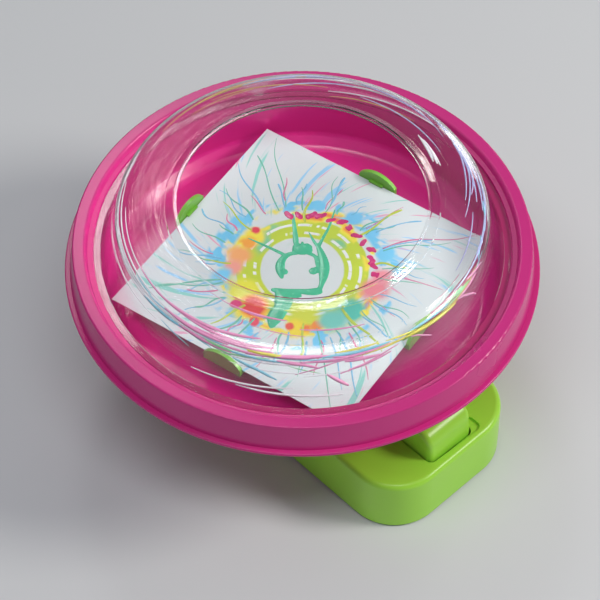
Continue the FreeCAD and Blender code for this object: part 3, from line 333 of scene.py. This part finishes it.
paintLook = {
    "poolScale": 160.0, "sheenScale": 300.0, "roughness": (0.14, 0.3), "deepest": 0.8,
    "swellScale": 500.0, "swellStrength": 0.25, "swellDepth": 0.00008,
}


def poolPaint(name, colour, deep, look):
    material, tree, shader = newMaterial(name)
    place = objectPlace(tree)
    pooled = mixColours(tree, noiseOf(tree, place, look["poolScale"], detail=3), deep, colour)
    rough = stretchNoise(tree, noiseOf(tree, place, look["sheenScale"]), look["roughness"])
    swells = noiseOf(tree, place, look["swellScale"])
    skin = bumpOf(tree, swells, look["swellStrength"], look["swellDepth"])
    joinTo(tree, shader, Base_Color=pooled, Roughness=rough, Normal=skin)
    return material


limePlastic = mouldedPlastic("limePlastic", limeLook)
magentaPlastic = mouldedPlastic("magentaPlastic", magentaLook)
clipGreenPlastic = mouldedPlastic("clipGreenPlastic", clipGreenLook)
gearPlastic = mouldedPlastic("gearPlastic", gearLook)
naturalPlastic = mouldedPlastic("naturalPlastic", naturalLook)
softRubber = mouldedPlastic("softRubber", rubberLook)
groundSteel = brushedMetal("groundSteel", steelLook)
sinteredBronze = brushedMetal("sinteredBronze", bronzeLook)
shieldPlastic = clearPlastic("shieldPlastic", shieldLook)
cardPaper = paintedCard("cardPaper", cardLook)

finishOf = {
    "base_housing": limePlastic, "bottom_cover": limePlastic, "press_lever": limePlastic,
    "splash_tray": magentaPlastic, "splash_shield": shieldPlastic, "spin_plate": clipGreenPlastic,
    "paper_card": cardPaper, "rubber_feet": softRubber,
    "gear_plate": naturalPlastic, "pawl_hub": naturalPlastic,
    "drive_rack": gearPlastic, "first_gear": gearPlastic,
    "second_gear": gearPlastic, "clutch_gear": gearPlastic,
    "lower_bush": sinteredBronze, "upper_bush": sinteredBronze,
}
for nodeName, node in nodes.items():
    node.data.materials.clear()
    node.data.materials.append(finishOf.get(nodeName, groundSteel))
print("finishes on the moulded and metal parts")


# Strokes are lists of (place, radius), poured as round beads.

beads = {"stepsAlong": 6, "stepsAround": 2, "curveOrder": 3, "mergeWithin": 0.00001}


def pourStrokes(name, strokes):
    bpy.ops.object.select_all(action="DESELECT")
    line = bpy.data.curves.new(name, "CURVE")
    line.dimensions = "3D"
    line.resolution_u = beads["stepsAlong"]
    line.bevel_depth = 1.0  # so that each point's own radius counts
    line.bevel_resolution = beads["stepsAround"]
    line.use_fill_caps = True
    for stroke in strokes:
        spline = line.splines.new("NURBS")
        spline.points.add(len(stroke) - 1)
        for point, (place, radius) in zip(spline.points, stroke):
            point.co = (*place, 1)
            point.radius = radius
        spline.use_endpoint_u = True
        spline.order_u = beads["curveOrder"]
    poured = bpy.data.objects.new(name, line)
    bpy.context.scene.collection.objects.link(poured)
    poured.select_set(True)
    bpy.context.view_layer.objects.active = poured
    bpy.ops.object.convert(target="MESH")
    return bpy.context.view_layer.objects.active


def finishMesh(piece, finish):
    bpy.ops.object.mode_set(mode="EDIT")
    bpy.ops.mesh.select_all(action="SELECT")
    bpy.ops.mesh.remove_doubles(threshold=beads["mergeWithin"])
    bpy.ops.mesh.normals_make_consistent(inside=False)
    bpy.ops.object.mode_set(mode="OBJECT")
    bpy.ops.object.shade_smooth()
    piece.data.materials.clear()
    piece.data.materials.append(finish)


def finishPaint(piece, paint, body):
    finishMesh(piece, paint)
    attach(piece, body)


# The lever's coil spring gets shorter as the lever sinks; here it is wound anew in the part's place.
returnSpring = {
    "wire": 0.7 * mm, "turns": 7, "pointsPerTurn": 16, "seat": 0.8 * mm,
    "closedTurns": 1, "closedPitch": 2.05,  # turns that lie shut at each end, and their pitch in wire radii
}


def windTheSpring(settings):
    low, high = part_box("return_spring")
    wire, turns, closed = settings["wire"], settings["turns"], settings["closedTurns"]
    radius = (high.x - low.x) / 2 - wire
    height = high.z - low.z - 2 * wire
    closedPitch = settings["closedPitch"] * wire
    openPitch = (height - 2 * closed * closedPitch) / (turns - 2 * closed)
    middle = ((low.x + high.x) / 2, (low.y + high.y) / 2)
    stroke = []
    for step in range(turns * settings["pointsPerTurn"] + 1):
        turn = step / settings["pointsPerTurn"]
        ends = min(turn, closed) + max(turn - (turns - closed), 0)
        rise = ends * closedPitch + (turn - ends) * openPitch
        place = (middle[0] + radius * math.cos(turn * math.tau),
                 middle[1] + radius * math.sin(turn * math.tau), low.z + wire + rise)
        stroke.append((place, wire))
    spring = pourStrokes("coilSpring", [stroke])
    finishMesh(spring, groundSteel)
    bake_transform(spring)
    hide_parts("return_spring")


windTheSpring(returnSpring)
print("return spring wound")


spinPaint = {
    "seed": 11, "flatness": 0.14, "lift": 0.02 * mm, "weld": 0.35 * mm, "easing": 6,
    "cardTurn": math.radians(12), "halfCard": 67.5 * mm,  # how the card lies, and where its paint ends
    # A smaller bead lies this far beyond each end of a thick stroke, both as shares of its half width.
    "beadBeyond": 0.6, "beadWidth": 0.45,
    # Thick strokes of the middle, seen from the lever: millimetres to the right and onwards of the axis,
    # half width.
    "centre": (
        ((-2.6, 15.0, 3.4), (-2.0, 14.2, 4.4), (2.0, 14.2, 4.4), (2.6, 15.0, 3.4)),
        ((-3.2, 17.0, 1.8), (-3.8, 25.0, 1.3), (-5.0, 37.0, 0.8)),
        ((-2.0, 11.2, 1.3), (-7.0, 10.6, 1.3), (-10.8, 6.5, 2.1), (-11.6, 1.0, 2.8), (-10.4, -5.0, 1.2)),
        ((-9.0, -1.2, 2.2), (-8.6, -1.0, 2.0)),
        ((-9.0, 9.8, 1.2), (-17.5, 15.0, 0.8), (-28.0, 21.0, 0.5)),
        ((2.5, 11.0, 1.1), (7.0, 9.2, 1.1), (7.4, 3.0, 1.0)),
        ((8.0, 15.7, 1.3), (10.2, 9.1, 2.2), (11.3, 2.5, 3.0), (10.8, -4.1, 2.5), (9.8, -9.2, 1.3),
         (8.6, -12.8, 1.5)),
        ((8.0, 14.5, 1.1), (10.5, 21.0, 0.9), (13.7, 27.5, 0.8), (17.0, 40.5, 0.5)),
        ((8.0, 15.0, 1.0), (5.4, 19.6, 0.8), (3.3, 25.0, 0.4)),
        ((4.8, -1.0, 2.4), (6.0, -0.6, 2.3), (10.0, 1.5, 1.5)),
        ((-15.0, -12.8, 1.5), (-9.0, -14.4, 2.2), (-2.0, -13.6, 1.4), (3.0, -14.4, 2.1), (8.6, -13.8, 2.6)),
        ((-7.0, -16.8, 2.6), (-1.0, -16.8, 1.2)),
        ((-13.0, -28.5, 2.0), (-19.4, -31.2, 0.9)),
        ((-11.6, -15.0, 3.0), (-9.2, -18.6, 5.4), (-10.2, -24.2, 3.8), (-13.8, -30.2, 4.6),
         (-15.4, -36.2, 1.9)),
    ),
    "centreColours": ((0.08, 0.50, 0.30, 1), (0.05, 0.40, 0.24, 1)),
    # Dabs in a row: count, angles in radians, start and length in millimetres, half widths, colours.
    "dabs": {
        "count": 13, "from": -0.84, "sweep": 2.02, "stray": 0.03, "ring": 34.8, "ringStray": 0.8,
        "lengths": (2.6, 4.2), "widths": (1.6, 2.1), "lag": 0.02,
        "colours": ((0.60, 0.04, 0.20, 1), (0.48, 0.02, 0.15, 1)),
    },
    # Spread of the runs: angle in radians, start in millimetres, shares of the way to the card's edge, of
    # the lag and of the half width, and how many of them end in a drop.
    "scatter": {
        "angle": 0.11, "start": (-2, 4), "reach": (0.3, 1.0), "bend": (-0.3, 1.5), "width": (0.7, 1.3),
        "drops": 0.35,
    },
    # Runs flung outwards: count, start in millimetres, half width, lag in radians, colour.
    "runs": {
        "paintBlue": (24, 42, 0.50, 0.07, (0.20, 0.52, 0.78, 1)),
        "paintGreen": (26, 40, 0.46, 0.05, (0.16, 0.52, 0.40, 1)),
        "paintRose": (14, 43, 0.44, 0.09, (0.70, 0.20, 0.38, 1)),
        "paintLime": (8, 33, 0.70, 0.04, (0.50, 0.62, 0.08, 1)),
    },
}


def flatPoint(angle, radius, height=0.0):
    return (radius * math.cos(angle), radius * math.sin(angle), height)


def cardEdge(angle, settings):
    # How far the card reaches from the axis at this angle.
    side = max(abs(math.cos(angle - settings["cardTurn"])), abs(math.sin(angle - settings["cardTurn"])))
    return settings["halfCard"] / side


def poolStroke(points, settings):
    places = [Vector(seenFromTheLever(across, onwards)) for across, onwards, _ in points]
    widths = [width for _, _, width in points]
    before = (places[0] - places[1]).normalized() * widths[0] * settings["beadBeyond"]
    after = (places[-1] - places[-2]).normalized() * widths[-1] * settings["beadBeyond"]
    places = [places[0] + before, *places, places[-1] + after]
    widths = [widths[0] * settings["beadWidth"], *widths, widths[-1] * settings["beadWidth"]]
    return [((place.x * mm, place.y * mm, 0.0), width * mm) for place, width in zip(places, widths)]


flung = {
    "steps": 9, "kink": 0.03, "curl": 1.6,
    "first": 1.15, "thinning": 0.65,  # shares of the width: at the start, and lost on the way
    "tip": 0.35, "tipGrowth": 4.0, "tipLead": 0.1,  # both ends are thinner and swell to the full width
    "drop": ((1, 0.7), (2, 1.25), (3, 0.95)),  # points back from the end, and their share of the width
}


def flungRun(rng, angle, inner, outer, width, lag, drop):
    stroke = []
    kink = rng.uniform(-flung["kink"], flung["kink"])
    lead = flung["tipLead"]
    for step in range(flung["steps"] + 1):
        share = step / flung["steps"]
        bend = angle - lag * share ** flung["curl"] + kink * math.sin(math.tau * share)
        fromEnd = min(share + lead, 1 + lead - share)
        tip = flung["tip"] + (1 - flung["tip"]) * min(1.0, flung["tipGrowth"] * fromEnd)
        thin = width * (flung["first"] - flung["thinning"] * share) * tip
        stroke.append((flatPoint(bend, inner + (outer - inner) * share), thin))
    if drop:
        for back, size in flung["drop"]:
            stroke[-back] = (stroke[-back][0], width * size)
    return stroke


def weldStrokes(piece, settings):
    merged = piece.modifiers.new("weld", "REMESH")
    merged.mode = "VOXEL"
    merged.voxel_size = settings["weld"]
    bpy.ops.object.modifier_apply(modifier="weld")
    eased = piece.modifiers.new("ease", "SMOOTH")
    eased.iterations = settings["easing"]
    bpy.ops.object.modifier_apply(modifier="ease")


def layPaint(name, strokes, paint, settings, weld=False):
    # Pours the strokes, presses them flat and lays them on the card.
    piece = pourStrokes(name, strokes)
    if weld:
        weldStrokes(piece, settings)
    bpy.ops.object.mode_set(mode="EDIT")
    bpy.ops.mesh.select_all(action="SELECT")
    bpy.ops.transform.resize(value=(1, 1, settings["flatness"]), center_override=(0, 0, 0))
    bpy.ops.transform.translate(value=(0, 0, cardTop + settings["lift"]))
    bpy.ops.object.mode_set(mode="OBJECT")
    finishPaint(piece, paint, "rotor")


def dabTheRing(rng, dabs):
    strokes = []
    for dab in range(dabs["count"]):
        evenly = dabs["from"] + dab * dabs["sweep"] / dabs["count"]
        angle = evenly + rng.uniform(-dabs["stray"], dabs["stray"])
        inner = (dabs["ring"] + rng.uniform(-dabs["ringStray"], dabs["ringStray"])) * mm
        outer = inner + rng.uniform(*dabs["lengths"]) * mm
        width = rng.uniform(*dabs["widths"]) * mm
        strokes.append(flungRun(rng, angle, inner, outer, width, dabs["lag"], True))
    return strokes


def flingTheRuns(rng, count, inner, halfWidth, lag, settings):
    scatter = settings["scatter"]
    strokes = []
    for run in range(count):
        angle = run * math.tau / count + rng.uniform(-scatter["angle"], scatter["angle"])
        reach = cardEdge(angle - lag, settings)
        start = (inner + rng.uniform(*scatter["start"])) * mm
        outer = start + (reach - start) * rng.uniform(*scatter["reach"])
        bend = lag * rng.uniform(*scatter["bend"])
        width = halfWidth * rng.uniform(*scatter["width"]) * mm
        strokes.append(flungRun(rng, angle, start, outer, width, bend, rng.random() < scatter["drops"]))
    return strokes


def paintTheCard(settings):
    rng = random.Random(settings["seed"])
    teal = poolPaint("paintTealFinish", *settings["centreColours"], paintLook)
    strokes = [poolStroke(points, settings) for points in settings["centre"]]
    layPaint("paintTeal", strokes, teal, settings, weld=True)
    rose = poolPaint("paintDabsFinish", *settings["dabs"]["colours"], paintLook)
    layPaint("paintDabs", dabTheRing(rng, settings["dabs"]), rose, settings, weld=True)
    for name, (count, inner, halfWidth, lag, colour) in settings["runs"].items():
        strokes = flingTheRuns(rng, count, inner, halfWidth, lag, settings)
        finish = poolPaint(name + "Finish", colour, toned(colour, paintLook["deepest"]), paintLook)
        layPaint(name, strokes, finish, settings)


paintTheCard(spinPaint)
print("spun paint on the card")


shieldPaintAndReflections = {
    # Inside of the wall, from its foot to its mouth: millimetres under the top, and radius.
    "profile": ((35.0, 99.85), (26.0, 96.8), (17.5, 93.95), (12.5, 92.25), (10.5, 91.5),
                (9.1, 90.4), (8.0, 89.2), (6.7, 86.2), (5.1, 77.0), (3.7, 68.3)),
    "seed": 5, "sink": 0.15 * mm, "highest": 0.999,
    # Each streak: steps, range of its width as shares of its sheaf's, and the half wave that the width
    # follows: share at the wave's foot, start and length on the wave, and a power that fills it out.
    "steps": 12, "widths": (0.4, 1.2), "foot": 0.15, "wave": (0.06, 0.88), "fullness": 0.7,
    # Sheaves of streaks: colour, count, middle angle in degrees, its spread, share of the way up, its
    # spread, least and most sweep in degrees, least and most climb, half width in millimetres.
    "sheaves": (
        ("Pink", 6, 188, 20, 0.66, 0.12, (24, 44), (-0.05, 0.08), 0.85),
        ("Pink", 5, 216, 24, 0.44, 0.10, (14, 30), (-0.08, 0.08), 0.9),
        ("Pink", 6, 232, 26, 0.34, 0.14, (6, 18), (-0.16, 0.16), 0.85),
        ("Pink", 4, 215, 22, 0.90, 0.07, (15, 30), (-0.05, 0.05), 0.50),
        ("Pink", 6, -95, 30, 0.42, 0.22, (5, 12), (-0.22, 0.22), 0.70),
        ("Lilac", 9, -38, 26, 0.72, 0.14, (20, 42), (-0.36, 0.06), 0.52),
        ("Lilac", 6, 30, 40, 0.76, 0.14, (20, 45), (-0.10, 0.10), 0.38),
        # The pale sheaves below are painted reflections: pale streaks that stand in for the lamps' glints
        # on the clear wall.
        ("PaintedReflection", 3, -14, 3, 0.95, 0.02, (13, 22), (-0.04, 0.0), 1.0),
        ("PaintedReflection", 9, 150, 24, 0.45, 0.30, (30, 60), (-0.08, 0.08), 0.42),
        ("PaintedReflection", 8, 0, 34, 0.48, 0.32, (25, 55), (-0.15, 0.10), 0.5),
        ("PaintedReflection", 6, 218, 24, 0.24, 0.18, (16, 34), (-0.05, 0.05), 0.55),
        ("Olive", 6, 48, 34, 0.80, 0.12, (22, 44), (-0.08, 0.10), 0.42),
        ("Olive", 4, -75, 22, 0.40, 0.20, (10, 20), (-0.25, 0.25), 0.35),
        ("Yellow", 7, 236, 36, 0.52, 0.14, (10, 26), (-0.10, 0.10), 0.85),
        ("Green", 8, 238, 55, 0.50, 0.20, (8, 22), (-0.15, 0.15), 0.60),
        ("Cyan", 11, 222, 55, 0.48, 0.20, (8, 26), (-0.14, 0.14), 0.65),
        ("Cyan", 4, -50, 25, 0.50, 0.20, (8, 18), (-0.20, 0.20), 0.36),
    ),
    "colours": {
        # The pale colour is a painted reflection; the other colours are thrown paint.
        "PaintedReflection": (0.78, 0.76, 0.84, 1), "Pink": (0.76, 0.30, 0.54, 1), "Lilac": (0.42, 0.44, 0.74, 1),
        "Olive": (0.55, 0.36, 0.12, 1), "Yellow": (0.72, 0.66, 0.12, 1), "Green": (0.26, 0.60, 0.32, 1),
        "Cyan": (0.24, 0.58, 0.76, 1),
    },
}


def onShield(share, angle, settings):
    # A point inside the clear wall, from its foot at 0 to its mouth at 1.
    profile = settings["profile"]
    reach = min(max(share, 0.0), settings["highest"]) * (len(profile) - 1)
    low = int(reach)
    part = reach - low
    under = (profile[low][0] * (1 - part) + profile[low + 1][0] * part) * mm
    radius = (profile[low][1] * (1 - part) + profile[low + 1][1] * part) * mm
    return flatPoint(angle, radius - settings["sink"], shieldTop - under - settings["sink"])


def streak(rng, sheaf, settings):
    _, _, angle, angleSpread, share, shareSpread, sweeps, climbs, halfWidth = sheaf
    angle = math.radians(angle + rng.uniform(-angleSpread, angleSpread))
    sweep = math.radians(rng.uniform(*sweeps))
    share += rng.uniform(-shareSpread, shareSpread)
    climb, width = rng.uniform(*climbs), halfWidth * mm * rng.uniform(*settings["widths"])
    foot = settings["foot"]
    start, length = settings["wave"]
    stroke = []
    for step in range(settings["steps"] + 1):
        part = step / settings["steps"]
        place = onShield(share + climb * part, angle + sweep * (part - 0.5), settings)
        swell = math.sin(math.pi * (start + length * part)) ** settings["fullness"]
        stroke.append((place, width * (foot + (1 - foot) * swell)))
    return stroke


# Pours thrown paint inside the wall, and pale streaks that are painted reflections of the lamps.
def paintTheShieldAndReflections(settings):
    rng = random.Random(settings["seed"])
    strokes = {name: [] for name in settings["colours"]}
    for sheaf in settings["sheaves"]:
        strokes[sheaf[0]] += [streak(rng, sheaf, settings) for _ in range(sheaf[1])]
    for name, colour in settings["colours"].items():
        piece = pourStrokes("streak" + name, strokes[name])
        deep = toned(colour, paintLook["deepest"])
        finishPaint(piece, poolPaint("streak" + name + "Finish", colour, deep, paintLook), "shield")


paintTheShieldAndReflections(shieldPaintAndReflections)
print("thrown paint inside the shield")


studio = {
    "floorColour": (0.66, 0.68, 0.71, 1), "floorSize": 6.0, "floorRoughness": 0.85,
    "mottle": 0.985, "mottleScale": 3.0,
    "skyColour": (0.92, 0.95, 1.0, 1), "skyLight": 0.22,
    # Gloss and glass see a sky that is brighter overhead: strengths, and the heights they change between.
    "skyGloss": (0.13, 0.38), "glossRise": (0.50, 0.85),
    "lampsAim": (0, 0, 0.07),
    # Lamps: place, width and depth, power, colour.
    "lamps": {
        "keyLamp": ((0.85, -1.05, 1.05), (0.50, 0.50), 14.2, (1.0, 0.96, 0.88)),
        "topLamp": ((-0.42, -0.29, 1.50), (1.40, 0.36), 7.4, (1.0, 1.0, 1.0)),
        "backLamp": ((0.53, 0.83, 1.22), (0.30, 0.30), 1.6, (1.0, 1.0, 1.0)),
        "sideLamp": ((1.25, 0.30, 0.38), (0.40, 0.40), 1.9, (1.0, 0.97, 0.92)),
    },
}


def layTheFloor(settings):
    bpy.ops.object.select_all(action="DESELECT")
    bpy.ops.mesh.primitive_plane_add(size=settings["floorSize"])
    floor = bpy.context.object
    floor.name = "floor"
    material, tree, shader = newMaterial("floorPaint")
    mottle = noiseOf(tree, objectPlace(tree), settings["mottleScale"])
    pale = settings["floorColour"]
    joinTo(tree, shader, Base_Color=mixColours(tree, mottle, toned(pale, settings["mottle"]), pale))
    shader.inputs["Roughness"].default_value = settings["floorRoughness"]
    floor.data.materials.append(material)


def openTheSky(settings):
    world = bpy.data.worlds.new("softSky")
    world.use_nodes = True
    tree = world.node_tree
    rays = addShaderNode(tree, "ShaderNodeLightPath").outputs
    seen = calculate(tree, "MAXIMUM", rays["Is Glossy Ray"], rays["Is Transmission Ray"])
    direction = addShaderNode(tree, "ShaderNodeTexCoord").outputs["Generated"]
    upward = addShaderNode(tree, "ShaderNodeSeparateXYZ", {0: direction}).outputs[2]
    gloss = stretchRange(tree, upward, *settings["glossRise"], *settings["skyGloss"])
    strength = stretchRange(tree, seen, 0, 1, settings["skyLight"], gloss)
    sky = tree.nodes["Background"]
    sky.inputs["Color"].default_value = settings["skyColour"]
    tree.links.new(strength, sky.inputs["Strength"])
    bpy.context.scene.world = world


def hangTheLamps(settings):
    for name, (place, size, power, colour) in settings["lamps"].items():
        bpy.ops.object.light_add(type="AREA", location=place)
        lamp = bpy.context.object
        lamp.name = name
        lamp.data.shape = "ELLIPSE"
        lamp.data.size, lamp.data.size_y = size
        lamp.data.energy = power
        lamp.data.color = colour
        towards = Vector(settings["lampsAim"]) - Vector(place)
        lamp.rotation_euler = towards.to_track_quat("-Z", "Y").to_euler()


cameraView = {
    "azimuth": -44.0, "elevation": 52.0, "distance": 1.40, "lens": 158.5, "clipEnd": 20,
    "aim": (0.0155, 0.0178, 0.0250),
}


def placeTheCamera(settings):
    turn, rise = math.radians(settings["azimuth"]), math.radians(settings["elevation"])
    back = Vector((math.sin(turn) * math.cos(rise), -math.cos(turn) * math.cos(rise), math.sin(rise)))
    eye = bpy.data.objects.new("eye", bpy.data.cameras.new("eye"))
    bpy.context.scene.collection.objects.link(eye)
    eye.data.lens = settings["lens"]
    eye.data.clip_end = settings["clipEnd"]
    eye.location = Vector(settings["aim"]) + back * settings["distance"]
    eye.rotation_euler = (-back).to_track_quat("-Z", "Y").to_euler()
    bpy.context.scene.camera = eye


layTheFloor(studio)
openTheSky(studio)
hangTheLamps(studio)
placeTheCamera(cameraView)
bpy.context.scene.view_settings.view_transform = "Standard"
print("studio and camera set")
